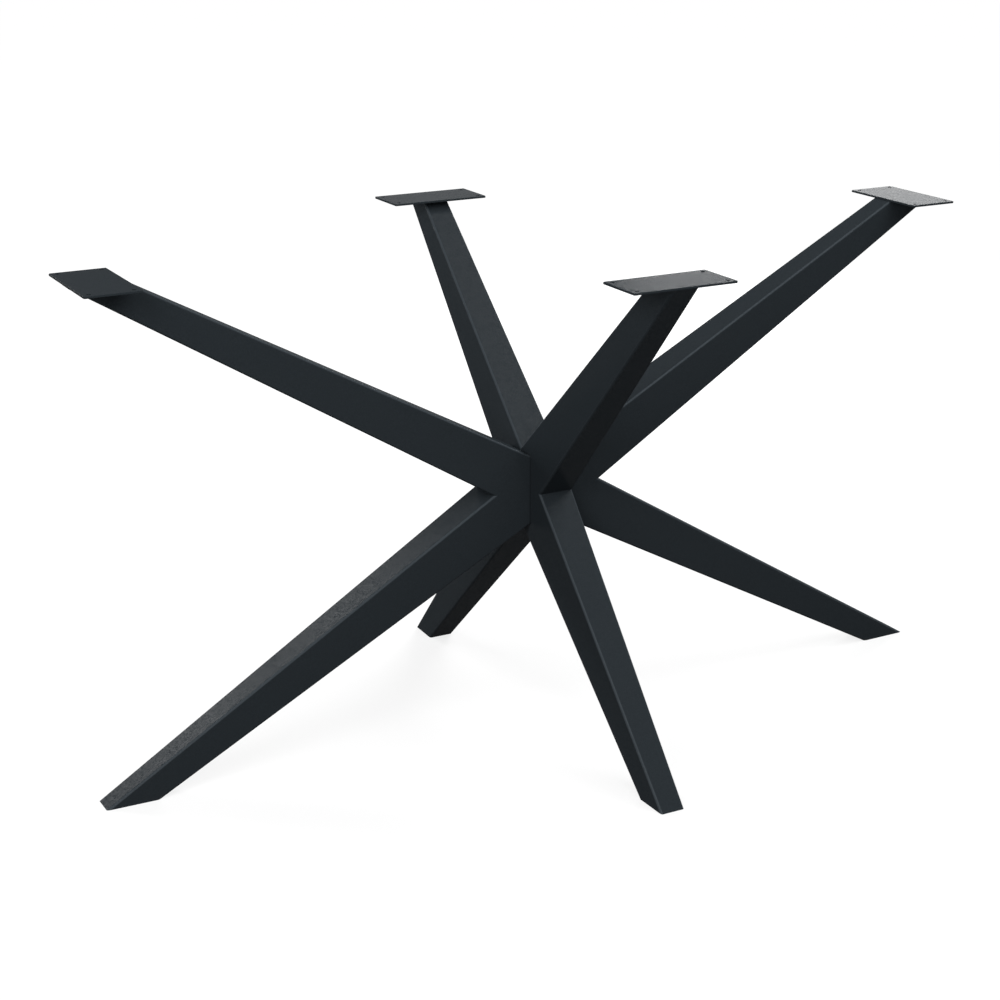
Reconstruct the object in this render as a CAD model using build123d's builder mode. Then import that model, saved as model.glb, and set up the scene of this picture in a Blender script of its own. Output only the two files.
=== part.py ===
"""Steel table base: two frames of tapered box arms, crossed in the middle and welded.

The long frame runs along X and the short frame along Y. Each has two arms that
rise to mounting plates and two that fall to the floor. The origin is on the
floor at the centre. Millimetres, with +Z up.
"""
import os
from math import atan2, cos, sin

from build123d import *

# Overall sizes
height = 710.0
long_frame_length = 1325.0
short_frame_length = 750.0

# Mounting plates, and the screw holes that hold the table top
plate_length = 150.0
plate_width = 75.0
plate_thickness = 3.0
plate_corner_radius = 2.0
plate_edge_chamfer = 0.4
screw_hole_diameter = 6.0
screw_hole_inset = 9.0

# Sheet steel of the arms
wall = 2.5
bend_radius = 3.0
foot_plate_thickness = 3.0

# Long frame: the arms' cut length and thickness at the ends, their thickness at the
# centre, and how far its notches lie from the centre, sideways and up
long_end_length = plate_width
long_end_thickness = 35.0
long_centre_thickness = 61.0
long_side_notch = 84.5
long_top_notch = 35.5

# Short frame, in the same order
short_end_length = 54.0
short_end_thickness = 36.0
short_centre_thickness = 55.0
short_side_notch = 53.5
short_top_notch = 55.0

# Heights that follow
arm_top = height - plate_thickness
mid_height = arm_top / 2
long_reach = long_frame_length / 2
short_reach = short_frame_length / 2


def side_outline(reach, end_length, side_notch, top_notch, inset):
    """Side view of an upper arm, with its outer and inner walls moved in by the inset."""
    rise = arm_top - mid_height
    outer_angle = atan2(rise, reach - side_notch)
    inner_angle = atan2(rise - top_notch, reach - end_length)
    outer_shift = inset / sin(outer_angle)
    inner_shift = inset / sin(inner_angle)
    return [
        (0, mid_height),
        (side_notch - outer_shift, mid_height),
        (reach - outer_shift, arm_top),
        (reach - end_length + inner_shift, arm_top),
        (0, mid_height + top_notch - inset / cos(inner_angle)),
    ]


def short_plan(inset):
    """Top view of a short arm, from the mitre at the centre to its end."""
    centre = short_centre_thickness / 2 - inset
    end = short_end_thickness / 2 - inset
    return [(0, -centre), (short_reach, -end), (short_reach, end), (0, centre)]


def long_plan(inset):
    """Top view of a long arm, which stops on the two side faces of the short frame."""
    long_slope = (long_centre_thickness - long_end_thickness) / 2 / long_reach
    short_slope = (short_centre_thickness - short_end_thickness) / 2 / short_reach
    long_half = long_centre_thickness / 2 - inset
    short_half = short_centre_thickness / 2
    corner_x = (short_half - short_slope * long_half) / (1 - short_slope * long_slope)
    corner_y = long_half - long_slope * corner_x
    end = long_end_thickness / 2 - inset
    return [
        (short_half, 0),
        (corner_x, -corner_y),
        (long_reach, -end),
        (long_reach, end),
        (corner_x, corner_y),
    ]


def tapered_block(side, plan, edge_radius):
    """Solid with the given side and top views, rounded along its four long edges."""
    with BuildPart() as block:
        with BuildSketch(Plane.XZ):
            with BuildLine():
                Polyline(*side, close=True)
            make_face()
        extrude(amount=long_centre_thickness, both=True)
        with BuildSketch(Plane.XY):
            with BuildLine():
                Polyline(*plan, close=True)
            make_face()
        extrude(amount=height, mode=Mode.INTERSECT)
        long_edges = block.edges().filter_by(lambda edge: edge.length > short_reach / 2)
        fillet(long_edges, radius=edge_radius)
    return block.part


def upper_long_block(inset):
    """Upper arm of the long frame, on the +X side."""
    side = side_outline(long_reach, long_end_length, long_side_notch, long_top_notch, inset)
    return tapered_block(side, long_plan(inset), bend_radius - inset)


def upper_short_block(inset):
    """Upper arm of the short frame, drawn on the +X side before it is turned."""
    side = side_outline(short_reach, short_end_length, short_side_notch, short_top_notch, inset)
    return tapered_block(side, short_plan(inset), bend_radius - inset)


def save(part, name):
    """Labels a finished piece and writes it to its own file."""
    part.label = name
    export_step(part, f"parts/{name}.step")


def make_arms(outside, cavity, turns):
    """Writes the hollow upper and lower arms, and the plates that close the lower ones."""
    with BuildPart() as upper_arm:
        add(outside)
        add(cavity, mode=Mode.SUBTRACT)

    with BuildPart() as lower_arm:
        add(upper_arm.part)
        mirror(about=Plane.XY.offset(mid_height), mode=Mode.REPLACE)

    # The foot plate fills the open end of a lower arm and lies flush with its walls
    with BuildPart() as foot_plate:
        add(cavity)
        mirror(about=Plane.XY.offset(mid_height), mode=Mode.REPLACE)
        split(bisect_by=Plane.XY.offset(foot_plate_thickness), keep=Keep.BOTTOM)

    for name, turn in turns.items():
        save(upper_arm.part.rotate(Axis.Z, turn), f"{name}_upper_arm")
        save(lower_arm.part.rotate(Axis.Z, turn), f"{name}_lower_arm")
        save(foot_plate.part.rotate(Axis.Z, turn), f"{name}_foot_plate")


def make_mounting_plate(reach, turn, name):
    """Plate on top of an upper arm, flush with the arm's outer end."""
    spacing_along = plate_width - 2 * screw_hole_inset
    spacing_across = plate_length - 2 * screw_hole_inset
    centre = (reach - plate_width / 2, 0)
    with BuildPart() as mounting_plate:
        with BuildSketch(Plane.XY.offset(arm_top)):
            with Locations(centre):
                RectangleRounded(plate_width, plate_length, plate_corner_radius)
        extrude(amount=plate_thickness)
        rims = mounting_plate.faces().filter_by(Axis.Z).edges()
        chamfer(rims, length=plate_edge_chamfer)
        with BuildSketch(Plane.XY.offset(arm_top)):
            with Locations(centre):
                with GridLocations(spacing_along, spacing_across, 2, 2):
                    Circle(screw_hole_diameter / 2)
        extrude(amount=plate_thickness, mode=Mode.SUBTRACT)
    save(mounting_plate.part.rotate(Axis.Z, turn), f"{name}_mounting_plate")


os.makedirs("parts", exist_ok=True)

# Turns about the vertical axis that bring the +X side to each place
long_turns = {"right": 0, "left": 180}
short_turns = {"back": 90, "front": 270}

make_arms(upper_long_block(0), upper_long_block(wall), long_turns)
make_arms(upper_short_block(0), upper_short_block(wall), short_turns)

for name, turn in long_turns.items():
    make_mounting_plate(long_reach, turn, name)
for name, turn in short_turns.items():
    make_mounting_plate(short_reach, turn, name)
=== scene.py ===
import math

import bpy
from mathutils import Matrix, Vector


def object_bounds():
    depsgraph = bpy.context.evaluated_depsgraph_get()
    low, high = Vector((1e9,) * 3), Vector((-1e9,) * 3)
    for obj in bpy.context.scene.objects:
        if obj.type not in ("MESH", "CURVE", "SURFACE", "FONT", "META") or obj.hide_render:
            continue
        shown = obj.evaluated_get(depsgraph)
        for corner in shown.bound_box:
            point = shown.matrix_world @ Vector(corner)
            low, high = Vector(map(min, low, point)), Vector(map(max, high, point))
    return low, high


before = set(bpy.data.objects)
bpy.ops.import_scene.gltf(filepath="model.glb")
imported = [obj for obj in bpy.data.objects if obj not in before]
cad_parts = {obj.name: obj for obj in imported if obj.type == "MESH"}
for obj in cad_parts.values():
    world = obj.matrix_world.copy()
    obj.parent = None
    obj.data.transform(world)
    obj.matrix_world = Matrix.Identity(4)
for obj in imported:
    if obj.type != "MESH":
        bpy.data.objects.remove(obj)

cad_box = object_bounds()

# Camera: where it stands, measured along and across its heading, and how it is turned
camera_heading = math.radians(62.234)
camera_tilt = math.radians(18.564)
camera_roll = math.radians(-0.186)
camera_distance = 2.7645
camera_offset = -0.0537
camera_height = 1.2545
sensor_width_mm = 36.0
focal_length_mm = 73.382

# Powder coat: its colour and its bumps follow a fine grain, its roughness a wider ripple.
# The edge gloss is so weak that it shows only on faces seen almost edge-on.
coat_dark = (0.0153, 0.0190, 0.0220, 1.0)
coat_light = (0.0186, 0.0230, 0.0267, 1.0)
matt_roughness_low = 0.48
matt_roughness_high = 0.56
coat_gloss = 0.032
gloss_roughness = 0.22
gloss_ior = 1.5
edge_gloss = 0.0003
grain_size = 0.0015
ripple_size = 0.0060
grain_detail = 2.0

# Bumps of the grain: their depth, and how strongly they show in the matt coat and in the gloss
grain_depth = 0.00010
matt_grain = 0.2
arm_grain = 0.6
plate_grain = 0.8

# Speckle of weaker and stronger gloss on the arms
speckle_low = 0.012
speckle_high = 0.052
speckle_size = 0.0030
speckle_detail = 1.0

# Noise stays mostly between these two values, so the grain and speckle use that range
noise_start = 0.30
noise_full = 0.70

# Painted highlight: bends of the arms that face up are painted lighter, as if they caught the
# light.
# On flat faces the sideways and lengthwise parts of the surface's direction multiply to nearly
# zero, and on the bends that face down its upward part is below zero.
painted_highlight_colour = (0.0350, 0.0420, 0.0480, 1.0)
highlight_bend_start = 0.03
highlight_bend_full = 0.20
highlight_upward_start = -0.20
highlight_upward_full = 0.0

# Dark joint line where a long arm's front or back meets the side of the short frame.
# The corner is in plan, and the line fades out between the near and the far distance.
joint_colour = (0.0110, 0.0136, 0.0156, 1.0)
joint_corner = (0.0282, 0.02998, 0.0)
joint_near = 0.0004
joint_far = 0.0016
in_plan = (1.0, 1.0, 0.0)

# Floor and backdrop: how bright the floor looks by itself near the object and far from it
floor_size = 60.0
near_distance = 1.0
far_distance = 4.0
near_glow = 0.80
far_glow = 1.0
floor_pale = (0.15, 0.15, 0.15, 1.0)
floor_bounce = (0.08, 0.08, 0.08, 1.0)
backdrop_white = (1.0, 1.0, 1.0, 1.0)

# Lamps: place, size and watts
lamps = {
    "key": ((0.0, -2.34, 2.96), 2.6, 78.7),
    "left": ((-2.48, -1.74, 2.10), 1.6, 66.5),
    "low_front": ((-1.74, -3.02, 0.77), 1.4, 24.8),
    "top_right": ((1.74, -0.63, 3.32), 1.6, 81.8),
    "back_left": ((-1.08, 2.98, 1.83), 0.8, 32.2),
    "back_low_left": ((-1.0, 1.4, 0.7), 0.5, 12.1),
    "back_high_left": ((-0.5, 1.6, 1.15), 0.4, 4.3),
    "back_middle": ((0.55, 1.5, 0.95), 0.4, 2.1),
    "back_right": ((2.0, 1.5, 1.0), 0.6, 33.1),
    "back_far_right": ((2.0, 2.5, 1.0), 0.6, 52.0),
}


def new_material(name):
    """Empty node material: the material, its node tree and its output node."""
    material = bpy.data.materials.new(name)
    material.use_nodes = True
    tree = material.node_tree
    tree.nodes.clear()
    output = tree.nodes.new("ShaderNodeOutputMaterial")
    return material, tree, output


def calculated(tree, operation, *values):
    """Result of a math node on one or two values."""
    node = tree.nodes.new("ShaderNodeMath")
    node.operation = operation
    for value, slot in zip(values, node.inputs):
        tree.links.new(value, slot)
    return node.outputs["Value"]


def vector_result(tree, operation, vector, other=None):
    """Outputs of a vector math node on a vector and, where given, a fixed one."""
    node = tree.nodes.new("ShaderNodeVectorMath")
    node.operation = operation
    tree.links.new(vector, node.inputs[0])
    if other:
        node.inputs[1].default_value = other
    return node.outputs


def surface_value(tree, kind):
    """Place (Object) or direction (Normal) of each point of a surface, in its own axes."""
    return tree.nodes.new("ShaderNodeTexCoord").outputs[kind]


def remapped(tree, value, start=0.0, full=1.0, low=0.0, high=1.0):
    """Low where the value is at its start, high where it is full, and even in between."""
    node = tree.nodes.new("ShaderNodeMapRange")
    node.inputs["From Min"].default_value = start
    node.inputs["From Max"].default_value = full
    node.inputs["To Min"].default_value = low
    node.inputs["To Max"].default_value = high
    tree.links.new(value, node.inputs["Value"])
    return node.outputs["Result"]


def noise(tree, size, detail):
    """Noise whose grains are about the given size."""
    texture = tree.nodes.new("ShaderNodeTexNoise")
    texture.inputs["Scale"].default_value = 1 / size
    texture.inputs["Detail"].default_value = detail
    tree.links.new(surface_value(tree, "Object"), texture.inputs["Vector"])
    return texture.outputs["Fac"]


def bumped(tree, height, depth, strength):
    """Surface direction over bumps of the given height map."""
    bump = tree.nodes.new("ShaderNodeBump")
    bump.inputs["Strength"].default_value = strength
    bump.inputs["Distance"].default_value = depth
    tree.links.new(height, bump.inputs["Height"])
    return bump.outputs["Normal"]


def mixed(tree, factor, colour, other):
    """One colour, turning into another one where the factor is high."""
    mix = tree.nodes.new("ShaderNodeMix")
    mix.data_type = "RGBA"
    mix.inputs["B"].default_value = other
    tree.links.new(factor, mix.inputs["Factor"])
    tree.links.new(colour, mix.inputs["A"])
    return mix.outputs["Result"]


def shown_ray(tree):
    """One on camera, glossy and transmission rays, and zero on the rest."""
    ray = tree.nodes.new("ShaderNodeLightPath").outputs
    either = calculated(tree, "MAXIMUM", ray["Is Camera Ray"], ray["Is Glossy Ray"])
    return calculated(tree, "MAXIMUM", either, ray["Is Transmission Ray"])


def at_painted_highlight(tree):
    """Mask of the painted highlight: one along the rounded edges of the arms that face up, and
    zero elsewhere.
    """
    parts = tree.nodes.new("ShaderNodeSeparateXYZ")
    tree.links.new(surface_value(tree, "Normal"), parts.inputs["Vector"])
    product = calculated(tree, "MULTIPLY", parts.outputs["X"], parts.outputs["Y"])
    turned = calculated(tree, "ABSOLUTE", product)
    bent = remapped(tree, turned, highlight_bend_start, highlight_bend_full)
    upward = remapped(tree, parts.outputs["Z"], highlight_upward_start, highlight_upward_full)
    return calculated(tree, "MULTIPLY", bent, upward)


def at_joint(tree):
    """One on the four upright lines where the long arms meet the short frame."""
    place = surface_value(tree, "Object")
    one_quarter = vector_result(tree, "ABSOLUTE", place)["Vector"]
    flat = vector_result(tree, "MULTIPLY", one_quarter, in_plan)["Vector"]
    distance = vector_result(tree, "DISTANCE", flat, joint_corner)["Value"]
    return remapped(tree, distance, joint_far, joint_near)


def coat_colour(tree, grain):
    """Blue-black colour that varies a little with the grain."""
    colour = tree.nodes.new("ShaderNodeValToRGB")
    dark, light = colour.color_ramp.elements
    dark.position = noise_start
    dark.color = coat_dark
    light.position = noise_full
    light.color = coat_light
    tree.links.new(grain, colour.inputs["Fac"])
    return colour.outputs["Color"]


def powder_coat(name, gloss_grain):
    """Matt black powder coat with a weak gloss, fine grain and a faint ripple."""
    material, tree, output = new_material(name)
    shader = tree.nodes.new("ShaderNodeBsdfPrincipled")
    shader.inputs["Specular IOR Level"].default_value = edge_gloss
    shader.inputs["Coat Weight"].default_value = coat_gloss
    shader.inputs["Coat IOR"].default_value = gloss_ior
    shader.inputs["Coat Roughness"].default_value = gloss_roughness
    tree.links.new(shader.outputs["BSDF"], output.inputs["Surface"])

    grain = noise(tree, grain_size, grain_detail)
    colour = coat_colour(tree, grain)
    tree.links.new(colour, shader.inputs["Base Color"])

    ripple = noise(tree, ripple_size, grain_detail)
    matt = remapped(tree, ripple, low=matt_roughness_low, high=matt_roughness_high)
    tree.links.new(matt, shader.inputs["Roughness"])

    tree.links.new(bumped(tree, grain, grain_depth, matt_grain), shader.inputs["Normal"])
    tree.links.new(bumped(tree, grain, grain_depth, gloss_grain), shader.inputs["Coat Normal"])
    return material, tree, shader, colour


def arm_coat():
    """Powder coat of the arms, with a painted highlight along their upward bends and dark at
    the joints.
    """
    material, tree, shader, colour = powder_coat("powder_coat_arms", arm_grain)
    speckle = noise(tree, speckle_size, speckle_detail)
    gloss = remapped(tree, speckle, noise_start, noise_full, speckle_low, speckle_high)
    tree.links.new(gloss, shader.inputs["Coat Weight"])
    # Painted highlight: a lighter colour on the bends that face up
    colour = mixed(tree, at_painted_highlight(tree), colour, painted_highlight_colour)
    colour = mixed(tree, at_joint(tree), colour, joint_colour)
    tree.links.new(colour, shader.inputs["Base Color"])
    return material


def plate_coat():
    """Powder coat of the mounting plates, whose grain shows more in the gloss."""
    material, *_ = powder_coat("powder_coat_plates", plate_grain)
    return material


def floor_glow(tree):
    """Glow of the floor, which grows with the distance from the object."""
    distance = vector_result(tree, "LENGTH", surface_value(tree, "Object"))["Value"]
    glow = tree.nodes.new("ShaderNodeEmission")
    strength = remapped(tree, distance, near_distance, far_distance, near_glow, far_glow)
    tree.links.new(strength, glow.inputs["Strength"])
    return glow.outputs["Emission"]


def diffuse(tree, colour):
    """Matt shader of one colour."""
    shader = tree.nodes.new("ShaderNodeBsdfDiffuse")
    shader.inputs["Color"].default_value = colour
    return shader.outputs["BSDF"]


def floor_material():
    """Pale floor that shows white where it is lit and keeps the object's shadow."""
    material, tree, output = new_material("floor_white")
    shown = tree.nodes.new("ShaderNodeAddShader")
    tree.links.new(diffuse(tree, floor_pale), shown.inputs[0])
    tree.links.new(floor_glow(tree), shown.inputs[1])
    mix = tree.nodes.new("ShaderNodeMixShader")
    tree.links.new(shown_ray(tree), mix.inputs["Fac"])
    tree.links.new(diffuse(tree, floor_bounce), mix.inputs[1])
    tree.links.new(shown.outputs["Shader"], mix.inputs[2])
    tree.links.new(mix.outputs["Shader"], output.inputs["Surface"])
    return material


def make_floor():
    """Wide flat floor under the feet."""
    bpy.ops.mesh.primitive_plane_add(size=floor_size, location=(0, 0, 0))
    floor = bpy.context.object
    floor.name = "floor"
    floor.data.materials.append(floor_material())


def make_world():
    """White backdrop to the eye and in reflections, with no light of its own."""
    world = bpy.data.worlds.new("studio")
    bpy.context.scene.world = world
    world.use_nodes = True
    tree = world.node_tree
    tree.nodes.clear()
    output = tree.nodes.new("ShaderNodeOutputWorld")
    backdrop = tree.nodes.new("ShaderNodeBackground")
    backdrop.inputs["Color"].default_value = backdrop_white
    tree.links.new(shown_ray(tree), backdrop.inputs["Strength"])
    tree.links.new(backdrop.outputs["Background"], output.inputs["Surface"])


def soft_box(name, place, size, watts):
    """Square lamp that faces the middle of the object."""
    lamp = bpy.data.lights.new(name, "AREA")
    lamp.shape = "SQUARE"
    lamp.size = size
    lamp.energy = watts
    holder = bpy.data.objects.new(name, lamp)
    bpy.context.scene.collection.objects.link(holder)
    holder.location = place
    middle = (Vector(cad_box[0]) + Vector(cad_box[1])) / 2
    holder.rotation_euler = (middle - Vector(place)).to_track_quat("-Z", "Y").to_euler()
    holder.visible_camera = False


def make_camera():
    """Camera that looks down at the object from its front left corner."""
    ahead = Vector((math.cos(camera_heading), math.sin(camera_heading), 0))
    right = Vector((math.sin(camera_heading), -math.cos(camera_heading), 0))
    up = Vector((0, 0, 1))
    look = math.cos(camera_tilt) * ahead - math.sin(camera_tilt) * up
    over = math.sin(camera_tilt) * ahead + math.cos(camera_tilt) * up
    side = math.cos(camera_roll) * right + math.sin(camera_roll) * over
    over = -math.sin(camera_roll) * right + math.cos(camera_roll) * over
    place = right * camera_offset - ahead * camera_distance + up * camera_height

    lens = bpy.data.cameras.new("camera")
    lens.sensor_width = sensor_width_mm
    lens.lens = focal_length_mm
    holder = bpy.data.objects.new("camera", lens)
    bpy.context.scene.collection.objects.link(holder)
    axes = Matrix((side, over, -look)).transposed().to_4x4()
    holder.matrix_world = Matrix.Translation(place) @ axes
    bpy.context.scene.camera = holder


arms = arm_coat()
plates = plate_coat()
for name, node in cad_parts.items():
    for slot in node.material_slots:
        slot.material = plates if "mounting_plate" in name else arms

make_floor()
make_world()
for name, (place, size, watts) in lamps.items():
    soft_box(name, place, size, watts)
make_camera()
bpy.context.scene.view_settings.view_transform = "Standard"
